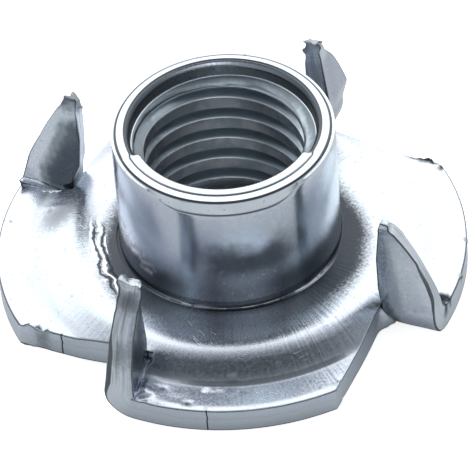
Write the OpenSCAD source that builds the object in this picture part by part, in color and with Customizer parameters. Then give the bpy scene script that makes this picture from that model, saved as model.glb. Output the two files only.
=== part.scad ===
// Pronged tee nut, pressed from one disc of sheet steel.
// A tapped barrel is drawn up through a low dome in the middle of the disc.
// Four prongs are sheared from the disc's rim and folded up beside it.
// The origin is on the barrel's axis, in the plane of the flange's underside.
// Millimetres, +Z up the barrel.

/* [Sheet and flange] */
// Thickness of the sheet
sheet_t = 1.5; // [1.2:0.05:1.7]
// Diameter of the disc
flange_d = 25.5; // [24:0.5:29]
// How far the dome stands above the flange
dome_rise = 0.85; // [0.5:0.05:1.2]
// Diameter of the dome's flat top
dome_top_d = 16.6; // [15:0.2:17.4]
// Radius of the dome's rounded shoulder, on the upper face
shoulder_r = 2.7; // [2.2:0.1:3.2]
// Radius of the hollow curve where the dome meets the flange, on the upper face
foot_r = 1.3; // [1:0.1:2]

/* [Barrel] */
// Outside diameter of the barrel
barrel_d = 12; // [11.4:0.1:13]
// Height from the flange's underside to the top of the rim
height = 10.2; // [8:0.1:14]
// Diameter over the crests of the thread
bore_d = 8.6; // [8:0.05:9]
// Radius of the corner between the barrel and the dome
barrel_fillet = 0.5; // [0.3:0.05:0.9]
// Radius of the drawn mouth of the bore, on the underside
mouth_r = 1.5; // [1:0.1:2]

/* [Rim] */
// Diameter of the plain recess above the thread
recess_d = 9.9; // [9.4:0.05:10.2]
// Depth of that recess below the rim
recess_depth = 0.75; // [0.5:0.05:1.5]
// Height of the cone that leads from the recess into the thread
lead_h = 0.4; // [0.2:0.05:0.8]
// Width of the bevel inside the rim
rim_bevel_w = 0.36; // [0.1:0.02:0.4]
// Depth of that bevel
rim_bevel_h = 0.22; // [0.1:0.02:0.4]
// How much the rim rises from its outer edge to its inner edge
rim_crown = 0.14; // [0.05:0.01:0.3]
// Height of the narrowed band below the rim
band_h = 0.78; // [0.4:0.02:1.5]
// How much narrower that band is at its top, on the radius
band_taper = 0.15; // [0.05:0.01:0.3]

/* [Prongs] */
// How far each prong is folded up, going round from +X; there is one prong for each
prong_fold = [87.5, 93, 86.5, 93]; // [80:0.5:100]
// Distance from the axis to the straight cut that frees a prong
cut_offset = 9.6; // [9.3:0.1:10]
// Width of the cut
cut_gap = 0.15; // [0.1:0.05:0.3]
// Distance by which the fold stops short of the disc's radius
fold_offset = 0.4; // [0.2:0.1:1.2]
// Inside radius of the fold
fold_r = 0.3; // [0.2:0.05:0.6]
// Width of the blunt tip
tip_w = 0.16; // [0.1:0.02:0.5]
// Thickness of the sheet at the tip, where shearing has drawn it thin
tip_t = 0.85; // [0.5:0.05:1.1]

/* [Hidden] */
$fn = 128;
zinc = [0.80, 0.83, 0.87];
overlap = 0.01;                                // how far a cutting shape runs past a face
flange_r = flange_d / 2;
prongs = len(prong_fold);

// Section: the dome's side is an S of two arcs, which are tangent to each other and to both flats.
dome_top_r = dome_top_d / 2;
dome_z = dome_rise + sheet_t;
dome_angle = acos(1 - dome_rise / (shoulder_r + foot_r));
dome_foot_r = dome_top_r + (shoulder_r + foot_r) * sin(dome_angle);
arc_step = 9;                                  // the most that one facet of an arc turns

// Section: the barrel and its rim.
barrel_r = barrel_d / 2;
bore_r = bore_d / 2;
recess_r = recess_d / 2;
rim_inner_r = recess_r + rim_bevel_w;
rim_outer_r = barrel_r - band_taper;
rim_edge_z = height - rim_crown;

// Prongs: a fold of angle a takes up a * neutral_r of the sheet's length.
outer_fold_r = fold_r + sheet_t;
neutral_r = fold_r + sheet_t / 2;
prong_x = cut_offset + cut_gap;
root_w = 0.5;                                  // how far a prong's root runs into its lobe
reach = flange_d;                              // longer than anything it cuts

// Points of an arc round centre, from angle a0 to angle a1, with both ends.
function arc(centre, r, a0, a1) =
    let (steps = ceil(abs(a1 - a0) / arc_step))
    [for (i = [0 : steps])
        let (a = a0 + (a1 - a0) * i / steps)
        centre + r * [cos(a), sin(a)]];

// Upper face of the half section, from the disc's rim in to the barrel and up to the bore.
function upper_face() = concat(
    [[flange_r, 0], [flange_r, sheet_t]],
    arc([dome_foot_r, sheet_t + foot_r], foot_r, 270, 270 - dome_angle),
    arc([dome_top_r, dome_z - shoulder_r], shoulder_r, 90 - dome_angle, 90),
    arc([barrel_r + barrel_fillet, dome_z + barrel_fillet], barrel_fillet, 270, 180),
    [[barrel_r, rim_edge_z - band_h], [rim_outer_r, rim_edge_z], [rim_inner_r, height],
     [recess_r, height - rim_bevel_h], [recess_r, height - recess_depth],
     [bore_r, height - recess_depth - lead_h]]);

// Lower face of the half section, from the bore's mouth out to the rim.
function lower_face() = concat(
    arc([bore_r + mouth_r, dome_rise + mouth_r], mouth_r, 180, 270),
    arc([dome_top_r, dome_z - shoulder_r], shoulder_r - sheet_t, 90, 90 - dome_angle),
    arc([dome_foot_r, sheet_t + foot_r], foot_r + sheet_t, 270 - dome_angle, 270));

// The disc with its dome and barrel, before the prongs are cut.
module drawn_disc() {
    rotate_extrude()
        polygon(concat(upper_face(), lower_face()));
}

// The corner of the disc that becomes a prong, for the prong that lies along +X.
module corner_cut() {
    translate([cut_offset, -reach - fold_offset, -overlap])
        cube([reach, reach, height]);
}

// How far the centre of the disc's rim ends up below the fold's centre, measured down the leg.
function centre_drop(angle) = fold_offset + neutral_r * angle * PI / 180;

// Length of the leg above the fold's centre, up to its blunt tip.
function leg_h(angle) = sqrt(pow(flange_r, 2) - pow(prong_x + tip_w, 2)) - centre_drop(angle);

// A point of the leg, x out from the fold's centre through the sheet and h along the leg.
function leg_point(x, h, angle) =
    [x * sin(angle) + h * cos(angle), outer_fold_r - x * cos(angle) + h * sin(angle)];

// A prong's section across the fold: its root in the lobe, the fold, and the leg, which thins
// evenly on both faces towards the tip.
module prong_section(angle) {
    polygon(concat(
        [[-root_w, 0]],
        arc([0, outer_fold_r], outer_fold_r, 270, 270 + angle),
        [leg_point(neutral_r + tip_t / 2, leg_h(angle), angle),
         leg_point(neutral_r - tip_t / 2, leg_h(angle), angle)],
        arc([0, outer_fold_r], fold_r, 270 + angle, 270),
        [[-root_w, sheet_t]]));
}

// The outline of a prong, seen square on: the straight cut, and the disc's own rim.
module prong_outline(angle) {
    intersection() {
        translate([0, -centre_drop(angle)])
            circle(flange_r);
        translate([prong_x, -flange_r])
            square([flange_r, 2 * flange_r]);
    }
}

// One prong, folded up by angle about a line along +X.
module prong(angle) {
    translate([0, -fold_offset, 0])
        intersection() {
            rotate([90, 0, 90])
                linear_extrude(flange_r)
                    mirror([1, 0])
                        prong_section(angle);
            translate([0, 0, outer_fold_r])
                rotate([angle - 90, 0, 0])
                    rotate([90, 0, 0])
                        linear_extrude(2 * reach, center = true)
                            prong_outline(angle);
        }
}

module tee_nut() {
    color(zinc)
        union() {
            difference() {
                drawn_disc();
                for (i = [0 : prongs - 1])
                    rotate(i * 360 / prongs)
                        corner_cut();
            }
            for (i = [0 : prongs - 1])
                rotate(i * 360 / prongs)
                    prong(prong_fold[i]);
        }
}

tee_nut();
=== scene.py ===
# %% [markdown]
# # A pronged tee nut in zinc-plated steel
# The real nut is one disc of sheet steel. A press draws a barrel up through a low dome in its
# middle, shears four prongs out of its rim and folds them up, and a tap cuts the thread. One
# mesh can be made by cutting primitives from each other, but the press marks, thin edges and
# torn corners would be lost. So this lesson works as the press does: it lays out the flat
# blank, meshes it once, and then forms both of its faces with the same bending rules.

import math

import bpy
import numpy as np
from mathutils import Matrix, Vector, noise
from mathutils.geometry import delaunay_2d_cdt


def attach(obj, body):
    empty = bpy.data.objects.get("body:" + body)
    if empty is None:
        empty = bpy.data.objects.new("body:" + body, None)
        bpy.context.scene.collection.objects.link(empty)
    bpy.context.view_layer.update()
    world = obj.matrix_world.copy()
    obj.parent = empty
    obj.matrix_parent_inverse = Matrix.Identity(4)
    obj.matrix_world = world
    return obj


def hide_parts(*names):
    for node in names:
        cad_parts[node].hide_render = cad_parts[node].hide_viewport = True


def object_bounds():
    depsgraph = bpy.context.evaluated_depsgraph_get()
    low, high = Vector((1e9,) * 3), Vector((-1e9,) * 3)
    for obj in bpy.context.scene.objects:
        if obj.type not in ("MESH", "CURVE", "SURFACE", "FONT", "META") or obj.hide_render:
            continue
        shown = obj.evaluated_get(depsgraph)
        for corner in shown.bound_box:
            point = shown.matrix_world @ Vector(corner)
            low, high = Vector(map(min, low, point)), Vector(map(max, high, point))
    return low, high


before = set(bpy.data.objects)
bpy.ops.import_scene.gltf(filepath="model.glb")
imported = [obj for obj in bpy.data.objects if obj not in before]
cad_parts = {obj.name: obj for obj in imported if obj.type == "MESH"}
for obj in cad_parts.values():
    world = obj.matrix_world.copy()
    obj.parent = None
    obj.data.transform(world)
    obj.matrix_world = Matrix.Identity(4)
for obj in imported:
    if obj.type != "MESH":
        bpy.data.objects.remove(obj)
CAD_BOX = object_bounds()
NODE = "tee_nut"
print("CAD box in mm:", [[round(c * 1000, 2) for c in corner] for corner in CAD_BOX])

# %% [markdown]
# The sizes are the ones a drawing of the nut would state, in millimetres. They follow the part's
# source, so the dressed model and the plain solid stay one part, except where a plain solid
# rounds what the press left sharp: here the dome is 0.08 mm higher with a straight side and a
# tight foot, and the recess is 0.2 mm deeper. The origin is on the barrel's axis, in the plane of
# the flange's underside, and prong 0 folds along +X.

# %% Sizes in millimetres
MM = 0.001
SHEET_T = 1.5
FLANGE_R = 12.75
DOME_RISE, DOME_TOP_R = 0.93, 8.3
SHOULDER_R, FOOT_R, DOME_SLOPE = 2.7, 0.4, math.radians(26)
BARREL_R, HEIGHT = 6.0, 10.2
RING_R = BARREL_R + 0.5  # where the dome's flat top gives way to the barrel's corner
CORNER_R = 0.22  # that corner, as tight as the die left it
BORE_R, ROOT_R, PITCH, MOUTH_R = 4.3, 4.86, 1.5, 1.5
RECESS_R, RECESS_DEPTH, LEAD_DROP = 4.95, 0.95, 0.22
RIM_CROWN, BAND_H, BAND_TAPER = 0.14, 0.78, 0.15
CUT_OFFSET, CUT_GAP, FOLD_OFFSET, FOLD_R, TIP_W = 9.6, 0.15, 0.4, 0.3, 0.16
PRONG_FOLD = np.radians([87.5, 93.0, 86.5, 93.0])
PRONGS = len(PRONG_FOLD)
QUARTER = math.tau / PRONGS
OUTER_FOLD_R = FOLD_R + SHEET_T
NEUTRAL_R = FOLD_R + SHEET_T / 2
PRONG_X = CUT_OFFSET + CUT_GAP
TIP_S = math.sqrt(FLANGE_R**2 - (PRONG_X + TIP_W) ** 2) - FOLD_OFFSET  # from fold line to tip
DOME_Z = DOME_RISE + SHEET_T
print("sheet", SHEET_T, "mm, flange", 2 * FLANGE_R, "mm across, prongs", round(TIP_S, 2), "mm long")

# %% [markdown]
# The dome's side is an S: a large shoulder, a straight slope and a small foot. Because the sheet
# keeps its thickness, the underside turns on a smaller shoulder and a larger foot. One function
# gives both faces.

# %% How far the dome lifts each face of the sheet
ARCS_R = SHOULDER_R + FOOT_R
SLOPE_RUN = (DOME_RISE - ARCS_R * (1 - math.cos(DOME_SLOPE))) / math.tan(DOME_SLOPE)
DOME_FOOT_R = DOME_TOP_R + ARCS_R * math.sin(DOME_SLOPE) + SLOPE_RUN


def dome_lift(r, thin):
    """Height of the dome over its flat at radius r; thin is 0 on top and SHEET_T underneath."""
    shoulder, foot = SHOULDER_R - thin, FOOT_R + thin
    slope_start = DOME_TOP_R + shoulder * math.sin(DOME_SLOPE)
    slope_end = slope_start + SLOPE_RUN
    over = np.clip(r - DOME_TOP_R, 0, shoulder * math.sin(DOME_SLOPE))
    under = np.clip(DOME_FOOT_R - r, 0, foot * math.sin(DOME_SLOPE))
    high = DOME_RISE - shoulder + np.sqrt(shoulder**2 - over**2)
    low = foot - np.sqrt(foot**2 - under**2)
    slope = low + (slope_end - r) * math.tan(DOME_SLOPE)
    return np.where(r < slope_start, high, np.where(r < slope_end, slope, low))


print("dome meets the flange at radius", round(DOME_FOOT_R, 2), "mm")

# %% [markdown]
# No two prongs left the press alike. One is bent in, one is hollow, and each has its own tip. A
# sculpted mesh would hold such shapes only as points, so they are written down here as what the
# tools did: a push on one edge or face, which grows and fades along the prong.

# %% How the wear of a prong is written down
OUT, IN, UP = 0, 1, 2  # directions in a prong's own frame: along its fold, across it, up
STRAIGHT, CURVED, WIDE = "straight", "curved", "wide"  # which edge of it, or its whole width
FACET = "facet"  # the half beside its curved edge, with a crease along the middle
OUTER, INNER, BOTH = "outer", "inner", "both"  # which face of its sheet


class Prong:
    """What shearing and folding did to one prong; lengths in millimetres.

    A push is (edge, face, direction, distances from the fold line, how far it moved there).
    """

    def __init__(self, tip_w, tip_t, roll, pushes):
        self.tip_w, self.tip_t = tip_w, tip_t  # blunt tip: width, thickness
        self.roll = roll  # (radius of the outer corner, from, to): rolled over by the fold
        self.pushes = pushes


print("a push works on:", [STRAIGHT, CURVED, WIDE, FACET], "of:", [OUTER, INNER, BOTH])

# %% What shearing and folding did to each prong
WEAR = [
    Prong(0.42, 1.0, (0.5, 2.6, 5.0), [
        (WIDE, BOTH, UP, [1.5, 4, 5, 7.6], [0, 0.2, 0.25, 0.4]),
        (STRAIGHT, BOTH, OUT, [0, 1, 2, 3, 5, 6, 7, 7.6],
         [0, -0.08, -0.1, -0.24, -0.26, -0.16, -0.05, 0.1]),
        (CURVED, OUTER, OUT, [3.8, 5, 7, 7.6], [0, 0.18, 0.26, 0.15]),
        (CURVED, INNER, OUT, [2.5, 4, 6, 7], [0, -0.15, -0.2, 0]),
        (WIDE, INNER, IN, [6.3, 7, 7.6], [0, -0.22, -0.6]),
        (FACET, OUTER, IN, [0.6, 1.8, 5, 7.2], [0, 0.42, 0.42, 0]),
    ]),
    Prong(0.30, 0.95, (0.7, 0.6, 3.2), [
        (WIDE, BOTH, UP, [0.2, 1.5, 3, 7.6], [0, 0.15, 0.15, 0.44]),
        (WIDE, BOTH, IN, [0, 1, 7.6], [0, 0.15, 0.32]),
        (WIDE, OUTER, IN, [0, 1, 1.8, 3.2], [0, 0.45, 0.45, 0]),
        (WIDE, INNER, IN, [4, 7.6], [0, -0.16]),
        (CURVED, BOTH, OUT, [5.6, 6.5, 7.6], [0, -0.18, 0]),
        (WIDE, INNER, UP, [6.8, 7.6], [0, -0.3]),
    ]),
    Prong(0.26, 1.1, (0.2, 2.0, 5.0), [
        (CURVED, INNER, UP, [0, 0.6, 1.8], [0, 0.45, 0]),
        (CURVED, INNER, IN, [0, 0.6, 2.2], [0, 0.5, 0]),
        (CURVED, BOTH, OUT, [0.8, 2, 3, 4.5], [0.04, 0.14, 0.18, 0]),
        (STRAIGHT, INNER, OUT, [2.2, 3.2, 5, 6, 7.6], [0, -0.45, -0.53, -0.42, -0.34]),
        (STRAIGHT, OUTER, OUT, [2.2, 3.2, 5, 7.6], [0, -0.2, -0.24, -0.22]),
        (WIDE, BOTH, UP, [6, 7.6], [0, 0.35]),
        (WIDE, OUTER, UP, [5.8, 7.6], [0, -0.7]),
        (FACET, INNER, IN, [1.5, 3.0, 5.5, 7.2], [0, -0.30, -0.34, 0]),
        (STRAIGHT, OUTER, UP, [6.4, 7.6], [0, -0.6]),
    ]),
    Prong(0.50, 1.4, (0.25, 2.0, 5.0), [
        (WIDE, BOTH, UP, [4, 7.6], [0, -0.3]),
        (CURVED, OUTER, IN, [1, 1.6, 6, 7.6], [0, 0.2, 0.2, 0.12]),
        (CURVED, INNER, IN, [0, 0.8, 1.5, 3, 4.5, 7], [0, 0.45, 0.45, 0.25, 0.14, 0.05]),
        (STRAIGHT, INNER, IN, [3, 5, 7.6], [0, -0.24, -0.45]),
    ]),
]
print("pushes on the prongs:", [len(prong.pushes) for prong in WEAR])

# %% [markdown]
# The blank is laid out flat. Each quarter of it starts at the slit that frees a prong: down the
# prong's straight edge, round its tip, back along the disc's rim, on round the lobe, and along
# the next slit. One closed outline therefore describes the disc, its lobes and its prongs. The
# points crowd together towards every corner, so that the corners stay crisp.

# %% Rows of points along each prong, and its outer edge in the blank
FOLD_ROWS, LEG_STEP = 21, 0.11


def turned(points, angle):
    """Points (n, 2 or 3) turned anticlockwise about the barrel's axis."""
    c, s = math.cos(angle), math.sin(angle)
    out = points.copy()
    out[:, :2] = points[:, :2] @ np.array([[c, s], [-s, c]])
    return out


def crowded(a, b, count):
    """Numbers from a to b, closer together towards both ends."""
    t = np.linspace(0, 1, count)
    return a + (b - a) * (t - 0.6 * np.sin(math.tau * t) / math.tau)


def outer_x(k, s):
    """Distance of prong k's outer edge from the axis, s beyond the fold line."""
    own = WEAR[k]
    rim = np.sqrt(np.maximum(FLANGE_R**2 - (FOLD_OFFSET + s) ** 2, 0))
    return np.maximum(rim, PRONG_X + own.tip_w)


def prong_rows(k):
    """Distances from the fold line at which prong k gets a row of points."""
    bend = NEUTRAL_R * PRONG_FOLD[k]
    leg = np.linspace(bend, TIP_S, int((TIP_S - bend) / LEG_STEP))
    return np.concatenate([np.linspace(0, bend, FOLD_ROWS), leg[1:]])


print("rows of points along prong 0:", len(prong_rows(0)))

# %% One closed outline of the blank
TIP_POINTS, RIM_POINTS, CUT_POINTS = 5, 76, 56


def quarter_outline(k):
    """Outline of quarter k, anticlockwise, with prong k's fold along +X."""
    s = prong_rows(k)
    straight = np.column_stack([np.full(len(s), PRONG_X), -FOLD_OFFSET - s])
    outer = np.column_stack([outer_x(k, s), -FOLD_OFFSET - s])[::-1]
    tip = np.linspace(straight[-1], outer[0], TIP_POINTS)[1:-1]
    start, corner = -math.asin(FOLD_OFFSET / FLANGE_R), math.asin(CUT_OFFSET / FLANGE_R)
    a = crowded(start, corner, RIM_POINTS)[1:]
    rim = FLANGE_R * np.column_stack([np.cos(a), np.sin(a)])
    x = crowded(rim[-1, 0], FOLD_OFFSET, CUT_POINTS)[1:]
    cut = np.column_stack([x, np.full(len(x), CUT_OFFSET)])
    return turned(np.concatenate([straight, tip, outer, rim, cut]), k * QUARTER)


def inward(loop):
    """Mitred inward direction at each point of a closed anticlockwise loop."""
    ahead = np.roll(loop, -1, axis=0) - loop
    ahead /= np.linalg.norm(ahead, axis=1)[:, None]
    side = np.column_stack([-ahead[:, 1], ahead[:, 0]])
    before = np.roll(side, 1, axis=0)
    return (side + before) / (1 + (side * before).sum(1))[:, None]


outline = np.concatenate([quarter_outline(k) for k in range(PRONGS)])
outline_in = inward(outline)
print("outline of the blank:", len(outline), "points")

# %% [markdown]
# Two questions come up again and again about a point of the blank: which prong it is on, and
# how far along. `on_prong` answers both. The flat faces start a little inside the outline, where
# the sheared edge's rounded corners end, and less where a prong is narrow.

# %% Which prong a point of the blank is on
def on_prong(flat, k):
    """(mask, x, s): points of prong k, their distance along its fold line and beyond it."""
    local = turned(flat, -k * QUARTER)
    x, s = local[:, 0], -FOLD_OFFSET - local[:, 1]
    return (s > 0) & (x > PRONG_X - CUT_GAP / 2), x, s


def room(flat):
    """How wide the sheet is at points of the outline; 1 mm on the disc."""
    wide = np.ones(len(flat))
    for k in range(PRONGS):
        on, _, s = on_prong(flat, k)
        wide[on] = np.minimum(1, outer_x(k, s[on]) - PRONG_X)
    return wide


EDGE_IN, EDGE_SHARE = 0.09, 0.19
inset = np.minimum(EDGE_IN, EDGE_SHARE * room(outline))
inset_loop = outline + outline_in * inset[:, None]
print("the faces start", round(inset.min(), 3), "to", round(inset.max(), 3), "mm in from the edge")

# %% [markdown]
# The inside of the outline is filled with points: rings round the dome, and rows across each
# prong that run along its fold, so that the sheet can bend cleanly. A constrained Delaunay
# triangulation joins them. Both faces of the sheet use the same triangles.

# %% Points inside the outline
COLUMNS, SEED_STEP = 240, 0.2
DISC_CLEAR, LEG_CLEAR = 0.11, 0.05  # the least gap between such a point and the outline
COLUMN_A = np.arange(COLUMNS) * math.tau / COLUMNS
unit = np.column_stack([np.cos(COLUMN_A), np.sin(COLUMN_A)])
ring = RING_R * unit


def disc_seeds():
    """Staggered rings of points between the barrel and the rim."""
    rings = []
    for n, r in enumerate(np.arange(RING_R + SEED_STEP, FLANGE_R - SEED_STEP / 2, SEED_STEP)):
        a = COLUMN_A + (n % 2) * math.pi / COLUMNS
        rings.append(r * np.column_stack([np.cos(a), np.sin(a)]))
    return np.concatenate(rings)


def prong_seeds(k):
    """Rows of points across prong k, parallel with its fold."""
    rows = []
    for s in prong_rows(k)[:-1]:
        wide = outer_x(k, s) - PRONG_X
        count = max(3, int(round(wide / SEED_STEP)) + 1)
        x = np.linspace(PRONG_X, PRONG_X + wide, count)[1:-1]
        rows.append(np.column_stack([x, np.full(len(x), -FOLD_OFFSET - s)]))
    return turned(np.concatenate(rows), k * QUARTER)


def clear_of(points, loop, distance):
    """Mask of the points at least this far from every point of a loop."""
    keep = np.ones(len(points), bool)
    for part in np.array_split(loop, 40):
        gap = np.linalg.norm(points[:, None] - part[None], axis=2).min(1)
        keep &= gap > distance
    return keep


disc = disc_seeds()
for k in range(PRONGS):
    local = turned(disc, -k * QUARTER)
    cut_off = (local[:, 0] > CUT_OFFSET - EDGE_IN) & (local[:, 1] < -FOLD_OFFSET + EDGE_IN / 2)
    disc = disc[~cut_off]
disc = disc[clear_of(disc, inset_loop, DISC_CLEAR)]
legs = np.concatenate([prong_seeds(k) for k in range(PRONGS)])
legs = legs[clear_of(legs, inset_loop, LEG_CLEAR)]
blank = np.concatenate([ring, inset_loop, disc, legs])
print("points inside the outline:", len(disc), "on the disc,", len(legs), "on the prongs")

# %% Triangulate the blank
def loop_edges(first, count):
    """Edges round a closed row of points, the first of which has this number."""
    return [(first + i, first + (i + 1) % count) for i in range(count)]


def triangulate(points, edges):
    """Triangles (n, 3) inside the constraint edges, as indices into points."""
    faces, origin = delaunay_2d_cdt([Vector(p) for p in points], edges, [], 1, 1e-7)[2:4]
    source = np.array([o[0] if o else -1 for o in origin])
    tris = source[np.array(faces)]
    off_axis = np.hypot(*points[tris].mean(1).T)
    return tris[(tris >= 0).all(1) & (off_axis > RING_R * 0.9998)]  # none inside the barrel


edges = loop_edges(0, COLUMNS) + loop_edges(COLUMNS, len(outline))
tris = triangulate(blank, edges)
print("blank:", len(blank), "points,", len(tris), "triangles a face")

# %% [markdown]
# Forming is one rule for the whole blank. On the disc a point rises by the dome's height. On a
# prong it first rolls round the fold, whose neutral fibre keeps its length, and then runs
# straight up the leg, which thins towards its tip. The dome's lift fades out through the fold.

# %% The sheet's thickness along a prong
def smooth(a, b, x):
    """0 below a, 1 above b, and an even S between."""
    t = np.clip((x - a) / (b - a), 0, 1)
    return t * t * (3 - 2 * t)


def thickness(k, s):
    """Thickness of prong k's sheet, s beyond the fold line."""
    bend = NEUTRAL_R * PRONG_FOLD[k]
    along = np.clip((s - bend) / (TIP_S - bend), 0, 1)
    return SHEET_T - (SHEET_T - WEAR[k].tip_t) * along


halfway = [round(float(thickness(k, TIP_S / 2)), 2) for k in range(PRONGS)]
print("sheet halfway along the prongs:", halfway, "mm")

# %% Corners that the fold rolled over
ROLL_IN, ROLL_OUT = 0.9, 1.6  # a rolled corner grows and fades over these lengths


def rounding(radius, inward, thick):
    """Share of the thickness that a rolled corner takes away, this far in from its edge."""
    radius = np.maximum(radius, 1e-6)
    near = np.clip(radius - inward, 0, radius)
    return (radius - np.sqrt(radius**2 - near**2)) / thick


def rolled(k, x, s, t):
    """Share t of the thickness after the fold has rolled prong k's outer corner."""
    radius, start, end = WEAR[k].roll
    radius = radius * smooth(start - ROLL_IN, start, s) * (1 - smooth(end - ROLL_OUT, end, s))
    edge = outer_x(k, np.maximum(s, 0)) - x
    floor = rounding(radius, edge, thickness(k, s))
    return floor + (1 - floor) * t


print("radius of each prong's rolled corner:", [prong.roll[0] for prong in WEAR], "mm")

# %% Edges and faces that the press pushed
FACET_FROM = 0.45  # share of a prong's width where the facet along its curved edge starts


def pushed(k, x, s, t):
    """How far the press moved points of prong k: (out, in, up)."""
    across = np.clip((x - PRONG_X) / (outer_x(k, s) - PRONG_X), 0, 1)
    facet = np.clip((across - FACET_FROM) / (1 - FACET_FROM), 0, 1)
    edges = {STRAIGHT: (1 - across) ** 1.5, CURVED: across**1.5, WIDE: 1.0, FACET: facet}
    faces = {OUTER: 1 - t, INNER: t, BOTH: 1.0}
    moved = np.zeros((len(s), 3))
    for edge, face, direction, at, by in WEAR[k].pushes:
        moved[:, direction] += edges[edge] * faces[face] * np.interp(s, at, by)
    return moved


tip = [np.array([value]) for value in (PRONG_X, TIP_S, 0.5)]
print("the tips moved by:", [pushed(k, *tip)[0].round(2).tolist() for k in range(PRONGS)], "mm")

# %% Form the blank
ROLL_OVER, ROLL_OVER_IN = 0.04, 0.3  # shearing rounds the rim's upper corner: how deep, how far in
LIFT_FADE = 0.9  # how far into a fold the dome's lift lasts


def folded(k, x, s, t, rise):
    """Points of prong k in its own frame, after the fold."""
    fold = PRONG_FOLD[k]
    turn = np.minimum(s / NEUTRAL_R, fold)
    leg = np.maximum(s - NEUTRAL_R * fold, 0)
    reach = NEUTRAL_R + (0.5 - t) * thickness(k, s) - rise * (1 - smooth(0, LIFT_FADE, s))
    y = -FOLD_OFFSET - reach * np.sin(turn) - leg * math.cos(fold)
    z = OUTER_FOLD_R - reach * np.cos(turn) + leg * math.sin(fold)
    return np.column_stack([x, y, z]) + pushed(k, x, s, t)


def form(flat, t):
    """Points of the blank, at share t of its thickness from below, after pressing."""
    t = np.broadcast_to(t, len(flat)).astype(float)
    r = np.hypot(flat[:, 0], flat[:, 1])
    rise = dome_lift(r, SHEET_T) * (1 - t) + dome_lift(r, 0) * t
    roll_over = ROLL_OVER * t * (1 - smooth(0, ROLL_OVER_IN, FLANGE_R - r))
    out = np.column_stack([flat, SHEET_T * t + rise - roll_over])
    for k in range(PRONGS):
        on, x, s = on_prong(flat, k)
        x, s = x[on], s[on]
        out[on] = turned(folded(k, x, s, rolled(k, x, s, t[on]), rise[on]), k * QUARTER)
    return out


def local_thickness(flat):
    """Thickness of the sheet at points of the blank."""
    thick = np.full(len(flat), SHEET_T)
    for k in range(PRONGS):
        on, _, s = on_prong(flat, k)
        thick[on] = thickness(k, s[on])
    return thick


samples = np.array([[CUT_OFFSET, CUT_OFFSET / 2], [PRONG_X, -FOLD_OFFSET - TIP_S]])
print("a lobe's edge and a prong's tip, formed:", np.round(form(samples, 0.5), 2).tolist())

# %% [markdown]
# Shearing and handling leave marks of their own: torn corners, burrs along the cuts, nicks in the
# disc's rim and crumpled tips. Each one is a small spot of the blank where the surface is shaken
# by noise, pushed a little, and where dirt has collected. Other spots only darken the sheet with
# painted shade: a line along an edge, shade under a fold, darker faces, and a painted reflection
# of a prong. Noise on the whole mesh would be simpler, but real damage has places.

# %% What a damaged spot is
FALL_OFF = 1.4  # how fast a spot fades beyond its half lengths


class Spot:
    """A spot beside prong k, x along its fold line and s beyond it (s < 0 is on the disc).

    size: its half lengths along x and s; share, spread: where it lies in the thickness.
    """

    def __init__(self, k, x, s, size, shake=0.0, push=(0, 0, 0), dirt_and_shade=0.0, share=0.5, spread=9.0):
        self.k, self.x, self.s, self.size = k, x, s, size
        self.shake, self.push, self.dirt_and_shade = shake, push, dirt_and_shade
        self.share, self.spread = share, spread

    def weight(self, flat, share):
        """1 in the middle of the spot, fading to 0 around it."""
        local = turned(flat, -self.k * QUARTER)
        dx = (local[:, 0] - self.x) / self.size[0]
        ds = (-FOLD_OFFSET - local[:, 1] - self.s) / self.size[1]
        dt = (share - self.share) / self.spread
        return np.exp(-(dx**2 + ds**2 + dt**2) * FALL_OFF)


print("weight at the end of a spot's half length:", round(math.exp(-FALL_OFF), 2))

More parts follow.
